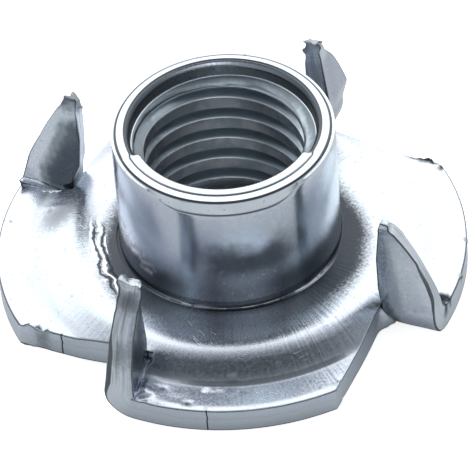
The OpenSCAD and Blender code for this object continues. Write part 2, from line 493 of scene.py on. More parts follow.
# %% Where the blank is damaged
SPOTS = [
    # crumpled tips
    Spot(0, 9.9, 7.4, (0.5, 0.5), shake=0.12),
    Spot(1, 9.9, 7.4, (0.6, 0.9), shake=0.26, dirt_and_shade=0.5),
    Spot(2, 10.0, 7.3, (0.9, 1.1), shake=0.22, dirt_and_shade=0.6),
    Spot(3, 9.9, 7.4, (0.7, 0.8), shake=0.24, dirt_and_shade=0.3),
    # flap and wedge torn loose at prong 0's root, with a painted shade line along the edge above
    # them
    Spot(0, 9.50, 1.5, (0.25, 0.45), 0.45, (0.9, 0, 0.1), dirt_and_shade=0.75, share=0.3, spread=0.5),
    Spot(0, 9.75, 4.0, (0.07, 5.0), dirt_and_shade=0.8, share=0.0, spread=0.6),
    Spot(0, 12.35, -0.40, (0.45, 0.22), push=(0, 0, -0.25), dirt_and_shade=3.0, share=1.0, spread=0.5),
    # notch in prong 3's slit, painted shade under prong 0's fold, and a painted reflection of prong
    # 2 beside it
    Spot(3, 9.55, 0.3, (0.12, 0.5), push=(0.12, 0, 0)),
    Spot(0, 11.2, 0.12, (1.6, 0.16), dirt_and_shade=1.0, share=0.0, spread=0.3),
    Spot(2, 9.5, -2.1, (1.4, 2.0), dirt_and_shade=0.68, share=1.0, spread=0.5),
    # torn roots
    Spot(2, 12.6, 0.2, (0.5, 0.4), shake=0.15, dirt_and_shade=1.0, share=1.0, spread=0.8),
    Spot(3, 11.9, -0.5, (0.8, 0.5), 0.35, (0, 0, 0.15), dirt_and_shade=0.35, share=1.0, spread=0.8),
    Spot(0, 12.3, 0.25, (0.7, 0.5), shake=0.15, dirt_and_shade=2.0, share=1.0, spread=0.6),
    # burrs along the cuts
    Spot(3, 9.6, 6.5, (0.12, 0.9), shake=0.22, dirt_and_shade=0.5, share=1.0, spread=0.5),
    Spot(1, 9.6, 7.0, (0.22, 1.2), shake=0.28, dirt_and_shade=1.5, share=1.0, spread=0.5),
    Spot(1, 9.35, 8.1, (0.32, 0.25), shake=0.20, dirt_and_shade=1.5, share=1.0, spread=0.5),
    # nicks in the rim
    Spot(0, 11.8, -5.0, (0.25, 0.25), shake=0.20, dirt_and_shade=0.9, share=1.0, spread=0.6),
    Spot(0, 12.6, -2.3, (0.25, 0.25), shake=0.20, dirt_and_shade=0.9, share=1.0, spread=0.6),
    Spot(2, 12.1, -3.0, (0.5, 0.12), shake=0.12, dirt_and_shade=0.8, share=1.0, spread=0.6),
    # a raised scratch and its shadow
    Spot(2, 10.2, -1.45, (0.8, 0.14), push=(0, 0, 0.08)),
    Spot(2, 10.2, -1.75, (0.8, 0.12), dirt_and_shade=0.7),
    # painted shade that darkens faces
    Spot(1, 9.75, 4.0, (0.12, 5.0), dirt_and_shade=0.72, spread=0.9),
    Spot(3, 11.2, 3.4, (1.6, 3.0), dirt_and_shade=0.80, share=1.0, spread=0.3),
    Spot(3, 11.0, 6.6, (3.0, 0.9), shake=0.10, dirt_and_shade=0.75, share=0.5, spread=0.9),
    Spot(3, 12.0, 3.6, (0.8, 1.8), dirt_and_shade=0.55, share=0.5, spread=0.9),
]
FLECKS = [(10.6, -3.5), (10.45, -4.0), (10.55, -4.3), (10.3, -4.9), (10.2, -5.3), (9.7, -4.6)]
HOOKS = [
    (11.9, -1.9, 0.08, 0.35), (11.7, -2.5, 0.25, 0.07), (12.0, -2.9, 0.07, 0.28),
    (11.5, -1.4, 0.07, 0.3),
]
for x, s in FLECKS:  # along the dome's foot in front
    SPOTS.append(Spot(3, x, s, (0.08, 0.14), 0.4, (0, 0, 0.08), share=1.0, spread=0.4))
for x, s, wide, long in HOOKS:  # scratched into the front lobe
    SPOTS.append(Spot(3, x, s, (wide, long), 0.0, (0, 0, -0.10), 1.6, share=1.0, spread=0.4))
print("damaged spots:", len(SPOTS))

# %% Shake and push the formed points
SHAKE_FINENESS = 1.7  # waves per millimetre
noise.seed_set(3)  # the noise's offsets come from this; without it they would differ in every run


def damaged(points, flat, share):
    """Points after the spots have shaken and pushed them."""
    moved = points.copy()
    share = np.broadcast_to(share, len(points))
    for n, spot in enumerate(SPOTS):
        near = spot.weight(flat, share)
        for i in np.flatnonzero(near > 0.01):
            place = Vector((*flat[i], share[i] * SHEET_T + 5.0 * n))
            shake = noise.turbulence_vector(place * SHAKE_FINENESS, 2, False)
            moved[i] += near[i] * spot.shake * np.array(shake)
        moved += near[:, None] * turned(np.array([spot.push], float), spot.k * QUARTER)
    return np.clip(moved, np.array(CAD_BOX[0]) / MM, np.array(CAD_BOX[1]) / MM)


def dirt_and_shade_at(flat, share):
    """How dirty and how darkened by painted shade the spots make each point of the blank, 0 to 1 or
    more.
    """
    share = np.broadcast_to(share, len(flat))
    return np.max([spot.dirt_and_shade * spot.weight(flat, share) for spot in SPOTS], axis=0)


print("spots that shake the points:", sum(spot.shake > 0 for spot in SPOTS), "of", len(SPOTS))

# %% [markdown]
# Folding also creased the prongs' faces, and the side beyond a crease gets painted shade. Thin dark
# lines of painted shade mark where a face turns into the sheared edge, the rim's upper corner, and
# the hollow where the dome meets the flange. The mesh stores both as numbers at its points,
# because they follow the blank and not any noise.

# %% Painted shade on creased faces, and dark lines of painted shade
CREASES = [  # prong, face's share, how dark its painted shade is on the left of all these lines of points (x, s)
    (0, 0.0, 0.42, [(11.4, 0.4), (10.3, 2.6), (10.0, 6.2)]),
    (0, 0.0, 0.66, [(11.2, 0.4), (10.1, 2.4)]),
    (1, 0.0, 0.34, [(12.8, 0.0), (12.8, 8.0)]),
    (3, 1.0, 0.20, [(12.8, 0.0), (12.8, 8.0)]),
    (2, 1.0, 0.66, [(11.3, 0.3), (11.7, 2.4), (10.5, 6.3)]),
    (2, 1.0, 0.88, [(10.9, 0.6), (11.3, 2.6), (10.3, 5.6)]),
]


def within(x, start, full, fading, end):
    """1 where x lies between full and fading, 0 before start and after end."""
    return smooth(start, full, x) * (1 - smooth(fading, end, x))


def facet_shading(flat, share):
    """How dark the painted shade on the creased faces of the prongs is, 0 to 1."""
    facet_shade = np.zeros(len(flat))
    for k, face, most, line in CREASES:
        on, x, s = on_prong(flat, k)
        mask = most * on * (np.abs(share - face) < 0.1)
        for (x0, s0), (x1, s1) in zip(line, line[1:]):
            beside = ((x1 - x0) * (s - s0) - (s1 - s0) * (x - x0)) / math.hypot(x1 - x0, s1 - s0)
            mask = mask * smooth(-0.05, 0.10, beside)
        facet_shade = np.maximum(facet_shade, mask * within(s, 0.2, 0.6, 5.8, 6.6))
    return facet_shade


def edge_shade(flat, share):
    """Painted shade: dark lines along the upper corner of the disc's rim, and in the hollow of the
    dome's foot.
    """
    heading = np.degrees(np.arctan2(flat[:, 1], flat[:, 0]))
    r = np.hypot(*flat.T)
    lobes = ((heading > -2) & (heading < 70)) | (heading < -125) | (heading > 165)
    rim_line = 0.9 * lobes * (r > FLANGE_R - EDGE_IN)
    hollow = within(heading, -88, -74, -38, -26) * within(r, 10.55, 10.75, 10.95, 11.1)
    return np.maximum(rim_line, 0.75 * hollow) * (share > 0.93)


def corner_shade(share):
    """Painted shade: thin dark lines where the sheared edge turns into the sheet's upper and lower
    face.
    """
    return 0.9 * ((share > 0.95) & (share < 0.99)) + 0.9 * (share < 0.06)


print("creases:", len(CREASES))

# %% [markdown]
# A mesh is collected piece by piece: `Shell` hands out vertex numbers and remembers the faces
# with the finish that each of them gets. Neighbouring pieces share their numbers, so the nut
# closes without merging points afterwards. Both faces of the sheet come first.

# %% Collect vertices and faces
class Shell:
    """Vertices and faces of one closed mesh, in millimetres."""

    def __init__(self):
        self.points, self.blank, self.dirt_and_shade, self.count = [], [], [], 0
        self.faces, self.finish = [], []

    def add(self, points, flat=None, share=0.0, dirt_and_shade=0.0):
        """Adds points (n, 3), with their places in the flat blank, and returns their numbers."""
        flat = points[:, :2] if flat is None else flat
        self.points.append(np.asarray(points, float))
        self.blank.append(np.column_stack([flat, np.broadcast_to(share, len(points))]))
        self.dirt_and_shade.append(np.broadcast_to(dirt_and_shade, len(points)))
        self.count += len(points)
        return np.arange(self.count - len(points), self.count)

    def add_sheet(self, flat, share, dirt_and_shade=0.0):
        """Adds points of the blank, formed, damaged, dirty and darkened by painted shade."""
        points = damaged(form(flat, share), flat, share)
        # dirt from the spots together with the painted shade of the edge lines
        dirt_and_shade = np.maximum(dirt_and_shade, np.maximum(dirt_and_shade_at(flat, share), edge_shade(flat, share)))
        return self.add(points, flat, share, dirt_and_shade)

    def face(self, corners, finish):
        """Adds a face, unless too few of its corners differ."""
        corners = [int(c) for n, c in enumerate(corners) if c != corners[n - 1]]
        if len(set(corners)) >= 3:
            self.faces.append(corners)
            self.finish.append(finish)

    def strip(self, low, high, finish):
        """Joins two closed rows of numbers with quads that face outwards."""
        for quad in zip(low, np.roll(low, -1), np.roll(high, -1), high):
            self.face(quad, finish)


FINISHES = ["plate", "barrel", "band", "rim", "bore", "sheared"]
PLATE, BARREL, BAND, RIM, BORE, SHEARED = range(len(FINISHES))
shell = Shell()

# %% Both faces of the sheet
top = shell.add_sheet(blank, 1.0)
under = shell.add_sheet(blank, 0.0)
for a, b, c in tris:
    shell.face((top[a], top[b], top[c]), PLATE)
    shell.face((under[c], under[b], under[a]), PLATE)
print("two faces:", shell.count, "points")

# %% [markdown]
# The sheared edge joins the two faces. Its upper and lower corners are small arcs, and the wall
# between them is straight.

# %% The sheared edge round the whole outline
TOP_CORNER_R, UNDER_CORNER_R = 0.06, 0.08
CORNER_STEPS, WALL_SHARES = np.radians([0, 30, 60, 90]), (0.925, 0.72, 0.5, 0.28, 0.09)
thick = local_thickness(outline)


def corner_rows(radius, steps):
    """(how far in, how deep as a share of the thickness) for the rows of a rounded corner."""
    return [(radius * (1 - math.sin(a)), radius * (1 - math.cos(a)) / thick) for a in steps]


top_rows = corner_rows(np.minimum(TOP_CORNER_R, 0.6 * inset), CORNER_STEPS)
edge_rows = [(depth, 1 - share) for depth, share in top_rows]
edge_rows += [(0 * thick, np.full(len(thick), share)) for share in WALL_SHARES]
edge_rows += corner_rows(np.minimum(UNDER_CORNER_R, 0.8 * inset), CORNER_STEPS[::-1])
loop_ids = np.arange(COLUMNS, COLUMNS + len(outline))
above = top[loop_ids]
for depth, share in edge_rows:
    flat = outline + outline_in * depth[:, None]
    row = shell.add_sheet(flat, share, corner_shade(share))
    shell.strip(row, above, SHEARED)
    above = row
shell.strip(under[loop_ids], above, SHEARED)
print("sheared edge:", len(edge_rows), "rows of", len(outline), "points")

# %% [markdown]
# The barrel, its rim and its bore are one turned profile that starts where the dome's top ends
# and comes back to the underside. Each step of the profile is a ring of points. The press was a
# little off its centre: a band is ironed narrower only in front, and the tool turned a thin lip
# over into the recess on the same side. So a ring's radius and height differ round the barrel.

# %% Rings that differ round the barrel
RIM_EDGE_Z = HEIGHT - RIM_CROWN
RIM_OUTER_R = BARREL_R - BAND_TAPER
THREAD_TOP = HEIGHT - RECESS_DEPTH


def ring_of(r, z):
    """A ring of points; r and z may differ from column to column."""
    r, z = np.broadcast_to(r, COLUMNS), np.broadcast_to(z, COLUMNS)
    return np.column_stack([unit * r[:, None], z])


def between(start, end, soft):
    """1 in the columns between two azimuths in degrees, 0 elsewhere, with soft ends."""
    return within(np.degrees(COLUMN_A), start - soft, start, end, end + soft)


def blended(share, a, b):
    return a + (b - a) * share


def towards(azimuth):
    """Cosine between each column's direction and an azimuth in degrees."""
    return np.cos(COLUMN_A - math.radians(azimuth))


BAND_SIDE = between(272, 318, 26)
LIP_SIDE = between(226, 356, 2)
FLANK_SHADE = 0.36 + 0.64 * np.abs(towards(26))  # how dark the recess's painted shade is, most at its two sides
print("columns with the lip:", int(LIP_SIDE.sum()), "of", COLUMNS)

# %% Helpers that build a turned profile
profile = []


def turn(r, z, finish, dirt_and_shade=0.0):
    """Adds a ring to the profile."""
    profile.append((r, z, finish, dirt_and_shade))


def turn_line(start, end, steps, finish):
    """Steps along a line, without its start; r and z may differ from column to column."""
    for share in np.linspace(0, 1, steps + 1)[1:]:
        turn(blended(share, start[0], end[0]), blended(share, start[1], end[1]), finish)


def arc(centre, radius, start, end, steps):
    """Points of an arc after its start, between two angles in degrees."""
    a = np.radians(np.linspace(start, end, steps + 1))[1:]
    return [(centre[0] + radius * math.cos(x), centre[1] + radius * math.sin(x)) for x in a]


print("the profile starts at radius", RING_R, "and height", round(DOME_Z, 2), "mm")

# %% The corner on the dome, the barrel's wall and its band
turn_line((RING_R, DOME_Z), (BARREL_R + CORNER_R, DOME_Z), 2, PLATE)
for r, z in arc((BARREL_R + CORNER_R, DOME_Z + CORNER_R), CORNER_R, 270, 180, 7):
    turn(r, z, BARREL)
band_z = RIM_EDGE_Z - blended(BAND_SIDE, 0.16, BAND_H)
turn_line((BARREL_R, DOME_Z + CORNER_R), (BARREL_R, band_z - 0.08), 24, BARREL)
BAND_STEPS = [  # inwards everywhere, inwards in front, above the band's edge, finish, painted shade in the groove
    (0.005, 0.00, -0.04, BARREL, 0.3), (0.00, 0.05, -0.01, BAND, 1.0),
    (0.00, 0.05, 0.02, BAND, 1.0), (0.00, 0.02, 0.05, BAND, 0.2),
]
for inwards, front_inwards, above_edge, finish, dirt_and_shade in BAND_STEPS:
    r = BARREL_R - inwards - front_inwards * BAND_SIDE
    turn(r, band_z + above_edge, finish, dirt_and_shade * BAND_SIDE)
turn_line((BARREL_R - 0.02, band_z + 0.05), (RIM_OUTER_R, RIM_EDGE_Z - 0.10), 6, BAND)
print("corner, wall and band:", len(profile), "rings")

# %% The rim with its lip, and the recess
edge_z = RIM_EDGE_Z + 0.06 * LIP_SIDE
EDGE_STEPS = [  # inwards on the lip, more where there is none, above the rim's edge, painted shade
    (0.00, 0.00, -0.08, 1.0), (0.03, 0.00, -0.03, 1.0),
    (0.08, 0.05, 0.00, 1.0), (0.10, 0.05, 0.005, 0.0),
]
for inwards, more, above_edge, dirt_and_shade in EDGE_STEPS:
    turn(RIM_OUTER_R - inwards - more * (1 - LIP_SIDE), edge_z + above_edge, RIM, dirt_and_shade)
RIM_STEPS = [  # opposite the lip: radius, height; on the lip: radius, height; painted shade
    (5.34, 10.185, 5.44, 10.185, 0.0),
    (5.33, 10.160, 5.42, 10.130, 1.0),
    (5.25, 10.140, 5.34, 10.120, 1.0),
    (5.23, 10.140, 5.32, 10.160, 0.0),
    (5.15, 10.060, 5.15, 10.160, 0.0),
    (5.07, 9.970, 4.90, 10.155, 0.0),
    (5.03, 9.910, 4.80, 10.130, 0.0),
    (5.015, 9.860, 4.80, 10.030, 0.1),
    (5.01, 9.810, 5.00, 9.860, 0.3),
]
turn_line((RIM_OUTER_R - 0.15, edge_z + 0.005), (blended(LIP_SIDE, 5.36, 5.46), 10.18), 5, RIM)
for far_r, far_z, lip_r, lip_z, dirt_and_shade in RIM_STEPS:
    shaded = np.maximum(dirt_and_shade, FLANK_SHADE * (1 - LIP_SIDE) * (far_r < 5.3))
    turn(blended(LIP_SIDE, far_r, lip_r), blended(LIP_SIDE, far_z, lip_z), RIM, shaded)
# the recess wall, with painted shade at its sides
for z in np.linspace(9.70, THREAD_TOP + 0.06, 5):
    turn(5.00, z, BAND, FLANK_SHADE)
turn(4.985, THREAD_TOP + 0.03, RIM)
turn(4.96, THREAD_TOP + 0.004, RIM)
print("turned profile:", len(profile), "rings")

# %% Join the rings of the profile
below = top[:COLUMNS]
for r, z, finish, dirt_and_shade in profile:
    row = shell.add(ring_of(r, z), dirt_and_shade=dirt_and_shade)
    shell.strip(below, row, finish)
    below = row
print("with the turned profile:", shell.count, "points")

# %% [markdown]
# The thread is cut as a screw, not as rings. Its rows of points climb one pitch for every turn,
# so the crests and flanks run along the rows. At both ends a cone and the drawn mouth open the
# bore, and rows that would pass them stop there. Where a row has gone once round, it meets the
# row one pitch above.

# %% The thread
THREAD_END, JOIN = 1.05, 0.012  # rows nearer than this to an end join it
# painted shade on the lead cone and on the thread's far side
LEAD_SHADE, FAR_SHADE = 0.62, 0.60
THREAD_ROWS = [  # going down one pitch: share of the pitch, share of the thread's depth
    (0.00, 0.00), (0.08, 0.00), (0.16, 0.00), (0.24, 0.00), (0.32, 0.00), (0.40, 0.00),
    (0.44, 0.01), (0.46, 0.06), (0.50, 0.25), (0.55, 0.52), (0.60, 0.79), (0.635, 0.95),
    (0.66, 1.00), (0.71, 1.00), (0.76, 1.00),
    (0.785, 0.95), (0.82, 0.79), (0.87, 0.52), (0.92, 0.25), (0.96, 0.06), (0.98, 0.01),
]
TURN_ROWS = len(THREAD_ROWS)
MOUTH_CENTRE = (BORE_R + MOUTH_R, DOME_RISE + MOUTH_R)


def opening_r(z):
    """Radius of the lead cone and of the drawn mouth, which both cut into the thread."""
    cone = BORE_R + (RECESS_R - BORE_R) * (z - THREAD_TOP + LEAD_DROP) / LEAD_DROP
    drop = np.clip(MOUTH_CENTRE[1] - z, 0, MOUTH_R)
    return np.maximum(cone, MOUTH_CENTRE[0] - np.sqrt(MOUTH_R**2 - drop**2))


start_row = shell.add(ring_of(RECESS_R - 0.02, THREAD_TOP), dirt_and_shade=LEAD_SHADE)
shell.strip(below, start_row, RIM)
end_row = shell.add(ring_of(opening_r(THREAD_END), THREAD_END))
row_count = int((THREAD_TOP - THREAD_END + PITCH) / PITCH * TURN_ROWS) + 2
grid = []
for j in range(row_count):
    turns, step = divmod(j, TURN_ROWS)
    share, depth = THREAD_ROWS[step]
    z = THREAD_TOP + 0.001 + PITCH * (COLUMN_A / math.tau - turns - share)
    thread_r = BORE_R + (ROOT_R - BORE_R) * depth
    r = np.maximum(thread_r, opening_r(np.clip(z, THREAD_END, THREAD_TOP)))
    # painted shade, darkest on the lead cone and on the far side
    painted_dark = LEAD_SHADE * smooth(0.0, 0.15, z - THREAD_TOP + LEAD_DROP)
    painted_dark = np.maximum(painted_dark, FAR_SHADE * smooth(0.45, 1.0, towards(206)))
    inside = (z < THREAD_TOP - JOIN) & (z > THREAD_END + JOIN)
    ids = np.where(z >= THREAD_TOP - JOIN, start_row, end_row)
    ids[inside] = shell.add(ring_of(r, z)[inside], dirt_and_shade=painted_dark[inside])
    grid.append(ids)


def thread_point(j, i):
    """Number of the point in row j and column i; column COLUMNS is one pitch further up."""
    if i < COLUMNS:
        return grid[j][i]
    return grid[j - TURN_ROWS][0] if j >= TURN_ROWS else start_row[0]


for j in range(row_count - 1):
    for i in range(COLUMNS):
        right, right_low = thread_point(j, i + 1), thread_point(j + 1, i + 1)
        shell.face((grid[j][i], right, right_low, grid[j + 1][i]), BORE)
print("thread:", row_count, "rows,", round((THREAD_TOP - THREAD_END) / PITCH, 1), "turns")

# %% The drawn mouth and the dome's flat inside
mouth_start = 270 - math.degrees(math.acos((MOUTH_CENTRE[1] - THREAD_END) / MOUTH_R))
mouth = arc(MOUTH_CENTRE, MOUTH_R, mouth_start, 270, 6)
mouth += [tuple(step) for step in np.linspace(mouth[-1], (RING_R, DOME_RISE), 5)[1:-1]]
below = end_row
for r, z in mouth:
    row = shell.add(ring_of(r, z))
    shell.strip(below, row, PLATE if r > MOUTH_CENTRE[0] else BORE)
    below = row
shell.strip(below, under[:COLUMNS], PLATE)
print("mouth:", len(mouth), "rings")

# %% [markdown]
# Only now does Blender get a mesh. Besides points and faces it stores what the finishes read at
# each point: the point's place in the flat blank, how dark its dirt and painted shade make it, and
# how dark the painted shade of a creased face is.

# %% Make the mesh
mesh = bpy.data.meshes.new("tee_nut_pressed")
mesh.from_pydata((np.concatenate(shell.points) * MM).tolist(), [], shell.faces)
mesh.update()
for polygon, finish in zip(mesh.polygons, shell.finish):
    polygon.material_index = finish
    polygon.use_smooth = True
nut = bpy.data.objects.new("pressed_tee_nut", mesh)
bpy.context.scene.collection.objects.link(nut)
place = np.concatenate(shell.blank)
mesh.attributes.new("blank", "FLOAT_VECTOR", "POINT").data.foreach_set("vector", place.ravel())
facet_shade = facet_shading(place[:, :2], place[:, 2])
for name, values in [("dirt_and_shade", np.concatenate(shell.dirt_and_shade)), ("facet_shade", facet_shade)]:
    mesh.attributes.new(name, "FLOAT", "POINT").data.foreach_set("value", values)
print("triangles:", sum(len(f) - 2 for f in shell.faces))

# %% [markdown]
# Zinc plating is one metal with many faces: bright where a tool ironed it, streaked where it was
# drawn, dull and grey where it was sheared. Each finish is its own material, and the effects that
# they share are node groups, each built once and given its own values in every material.

# %% A small helper that adds nodes and joins them
class Tree:
    """Adds nodes to a node tree; an input may be a number, a tuple or another node's output."""

    def __init__(self, tree):
        self.tree = tree

    def put(self, socket, value):
        if isinstance(value, bpy.types.NodeSocket):
            self.tree.links.new(value, socket)
        else:
            socket.default_value = value

    def node(self, kind, inputs, **settings):
        made = self.tree.nodes.new("ShaderNode" + kind)
        for name, value in settings.items():
            setattr(made, name, value)
        for name, value in inputs.items():
            self.put(made.inputs[name], value)
        return made

    def group(self, made, **values):
        return self.node("Group", values, node_tree=made.tree).outputs

    def attribute(self, name, output="Fac"):
        """What the mesh stores at each point under this name."""
        return self.node("Attribute", {}, attribute_name=name).outputs[output]

    def math(self, operation, a, b=0.0):
        return self.node("Math", {0: a, 1: b}, operation=operation).outputs[0]

    def plus(self, total, *others):
        for other in others:
            total = self.math("ADD", total, other)
        return total

    def minus(self, a, b):
        return self.math("SUBTRACT", a, b)

    def times(self, product, *others):
        for other in others:
            product = self.math("MULTIPLY", product, other)
        return product

    def larger(self, a, b):
        return self.math("MAXIMUM", a, b)

    def ramp(self, value, low, high, start=0.0, end=1.0):
        """Value mapped from low..high to start..end, with soft ends."""
        inputs = {"Value": value, "From Min": low, "From Max": high, "To Min": start, "To Max": end}
        return self.node("MapRange", inputs, interpolation_type="SMOOTHSTEP").outputs["Result"]

    def band(self, value, start, full, fading, end):
        """1 where value lies between full and fading, 0 before start and after end."""
        return self.times(self.ramp(value, start, full), self.ramp(value, fading, end, 1.0, 0.0))

    def noise(self, vector, scale, detail=3.0, distortion=0.0):
        inputs = {"Vector": vector, "Scale": scale, "Detail": detail, "Distortion": distortion}
        return self.node("TexNoise", inputs).outputs["Fac"]

    def blend(self, factor, a, b, kind="RGBA"):
        """a where factor is 0 and b where it is 1; colours, or numbers if kind is FLOAT."""
        inputs = {"Factor": factor, "A": a, "B": b}
        return self.node("Mix", inputs, data_type=kind).outputs["Result"]

    def split(self, vector):
        return self.node("SeparateXYZ", {0: vector}).outputs

    def join(self, x, y, z):
        return self.node("CombineXYZ", {0: x, 1: y, 2: z}).outputs[0]

    def vector(self, operation, a, b=(0.0, 0.0, 0.0), output="Vector"):
        return self.node("VectorMath", {0: a, 1: b}, operation=operation).outputs[output]

    def length(self, vector):
        return self.vector("LENGTH", vector, output="Value")

    def spun(self, vector, angle):
        """A vector turned about the barrel's axis."""
        inputs = {"Vector": vector, "Axis": (0.0, 0.0, 1.0), "Angle": angle}
        return self.node("VectorRotate", inputs, rotation_type="AXIS_ANGLE").outputs["Vector"]

    def place(self):
        """The point in the nut's own frame, in millimetres."""
        inputs = {0: self.node("TexCoord", {}).outputs["Object"], "Scale": 1 / MM}
        return self.node("VectorMath", inputs, operation="SCALE").outputs["Vector"]

    def height(self):
        return self.split(self.place())[2]

    def from_axis(self):
        """The point's place without its height."""
        return self.vector("MULTIPLY", self.place(), (1.0, 1.0, 0.0))

    def heading(self):
        return self.vector("NORMALIZE", self.from_axis())

    def facing(self, side):
        """How far the point lies towards a side of the nut: 1 straight there, -1 opposite."""
        return self.vector("DOT_PRODUCT", self.heading(), side, "Value")


# %% [markdown]
# An effect that several finishes share is a node group with named sockets. Its nodes could also be
# copied into every material, but a mend would then have to be made in each copy. This class makes
# the sockets, an effect's own nodes are added next, and `give` joins them to the outputs.

# %% A node group with named inputs and outputs
class Group(Tree):
    """A shader node group with named inputs and named outputs."""

    def __init__(self, name, inputs, outputs):
        super().__init__(bpy.data.node_groups.new(name, "ShaderNodeTree"))
        for label, value in inputs.items():
            kind = "NodeSocketFloat" if isinstance(value, float) else "NodeSocketColor"
            socket = self.tree.interface.new_socket(label, in_out="INPUT", socket_type=kind)
            socket.default_value = value
        for label, kind in outputs.items():
            self.tree.interface.new_socket(label, in_out="OUTPUT", socket_type="NodeSocket" + kind)
        self.inputs = self.tree.nodes.new("NodeGroupInput").outputs
        self.outputs = self.tree.nodes.new("NodeGroupOutput").inputs

    def give(self, **values):
        for label, value in values.items():
            self.put(self.outputs[label], value)
        print("group", self.tree.name, "gives", ", ".join(values))


# %% [markdown]
# Drawing and turning leave streaks that run up the barrel or out along a radius. A noise whose
# place is the direction from the axis, not the point itself, changes quickly round the nut and
# slowly along it, so it makes such streaks on every surface of revolution.

# %% Group: streaks left by drawing
g = draw_marks = Group("draw_marks", {"Count": 40.0, "Along": 0.3}, {"Mark": "Float"})
hx, hy, _ = g.split(g.heading())
run = g.plus(g.height(), g.length(g.from_axis()))
count, along = g.inputs["Count"], g.inputs["Along"]
wander = g.join(g.times(hx, count), g.times(hy, count), g.times(run, along))
g.give(Mark=g.ramp(g.noise(wander, 1.0, 4.0), 0.3, 0.7))

# %% [markdown]
# Zinc isn't one grey. Soft clouds of a warmer, lilac tint and of a paler one drift over it, and
# the plating is a little duller in them. One group gives the tint and the dullness.

# %% Group: clouds in the plating
PALE_CLOUD = (0.72, 0.77, 0.81, 1)
g = plating = Group(
    "plating_clouds",
    {"Size": 0.35, "Cool": (0.58, 0.655, 0.71, 1), "Lilac": (0.61, 0.65, 0.74, 1)},
    {"Tint": "Color", "Dullness": "Float"},
)
broad = g.noise(g.place(), g.inputs["Size"], 2.0, 0.6)
fine = g.noise(g.place(), g.times(g.inputs["Size"], 20.0), 4.0)
tint = g.blend(g.ramp(broad, 0.35, 0.65), g.inputs["Cool"], g.inputs["Lilac"])
g.give(Tint=g.blend(g.ramp(fine, 0.40, 0.80), tint, PALE_CLOUD), Dullness=g.ramp(fine, 0.3, 0.7))

# %% [markdown]
# Under the plating, steel sheet is finely pitted. `grit` is that grain: a close noise for the
# bump, and a few deep pits that catch dirt.

# %% Group: grit
g = grit = Group("grit", {"Fineness": 12.0}, {"Grain": "Float", "Pits": "Float"})
pits = g.noise(g.place(), g.times(g.inputs["Fineness"], 0.45), 2.0)
g.give(Grain=g.noise(g.place(), g.inputs["Fineness"]), Pits=g.ramp(pits, 0.64, 0.72))

# %% [markdown]
# A scratch is long, thin and nearly straight. A noise that is stretched along one direction has
# long level lines, and keeping only a thin slice of its values leaves those lines as scratches.
# They lie in the flat blank's frame, so they turn up a prong with the sheet.

# %% Group: scratches
g = scratches = Group("scratches", {"Angle": 0.5, "Spread": 0.56}, {"Line": "Float"})
twisted = g.spun(g.attribute("blank", "Vector"), g.inputs["Angle"])
lines = g.noise(g.vector("MULTIPLY", twisted, (0.16, 3.2, 1.0)), 1.0, 1.0, 0.3)
thin_line = g.ramp(g.math("ABSOLUTE", g.minus(lines, 0.5)), 0.002, 0.010, 1.0, 0.0)
shown = g.math("GREATER_THAN", g.noise(twisted, 0.55, 1.0), g.inputs["Spread"])
g.give(Line=g.times(thin_line, shown))

# %% [markdown]
# Where the dome meets the barrel the die pinches the sheet, and a dark film of drawing grease
# stays burnt into the corner; its darkness is painted shade of that corner as well. It fades out
# from the corner along both surfaces, it is streaked by the radial marks and speckled at its end.
# It is widest in front, and the punch wiped it thin except on one side. At the left the metal
# under it is rippled. `Film` is what is left of it on the dome, and `Corner` is how far it
# would reach unwiped.

# %% Group: dark film and painted shade round the barrel's foot
FRONT_SIDE = (0.53, -0.85, 0.0)
THICK_SIDE, RIPPLED_SIDE = (0.97, 0.26, 0.0), (-0.77, -0.64, 0.0)
UP_THE_BARREL = 6.0  # a millimetre up the barrel counts as this many along the dome
g = film_and_shade = Group(
    "drawing_film_and_shade",
    {"Reach": 1.7, "Softness": 0.5},
    {"Film": "Float", "Corner": "Float", "Ripple": "Float"},
)
climbed = g.larger(g.minus(g.height(), DOME_Z + 0.25), 0.0)
away = g.minus(g.length(g.from_axis()), BARREL_R + 0.1)
away = g.plus(away, g.times(climbed, UP_THE_BARREL))
marks = g.group(draw_marks, Count=26.0, Along=0.25)["Mark"]
smudge = g.minus(g.noise(g.place(), 0.7), 0.5)
speckle = g.minus(g.noise(g.place(), 7.0, 4.0), 0.5)
ragged = g.plus(away, g.times(marks, -0.05), g.times(smudge, 0.5), g.times(speckle, 1.1))
ragged = g.plus(ragged, g.ramp(g.facing(FRONT_SIDE), -0.4, 0.6, 1.0, 0.0))
inner = g.minus(g.inputs["Reach"], g.inputs["Softness"])
reached = g.ramp(ragged, inner, g.inputs["Reach"], 1.0, 0.0)
rippled = g.facing(RIPPLED_SIDE)
thick = g.ramp(g.facing(THICK_SIDE), 0.35, 0.9, 0.24, 1.0)
thick = g.larger(thick, g.ramp(rippled, 0.5, 0.9, 0.0, 0.97))
wave = g.math("SINE", g.plus(g.times(away, 15.0), g.times(smudge, 18.0)))
wave = g.times(wave, g.ramp(rippled, 0.86, 0.96), g.band(away, 0.5, 0.8, 1.4, 1.8))
g.give(Film=g.times(reached, thick), Corner=reached, Ripple=wave)

# %% [markdown]
# Dirt and painted shade sit where the mesh says so, but never evenly: a noise breaks up their
# limits. Cracks are dark lines across an edge, nearly straight, each in a plane through the
# barrel's axis.

# %% Groups: dirt with painted shade, and cracks
g = grime_and_shade = Group("grime_and_shade", {"Fineness": 5.0}, {"Dirt": "Float"})
patchy = g.minus(g.times(g.noise(g.place(), g.inputs["Fineness"]), 0.6), 0.3)
collected = g.attribute("dirt_and_shade")
g.give(Dirt=g.times(collected, g.ramp(g.plus(collected, patchy), 0.15, 0.55)))

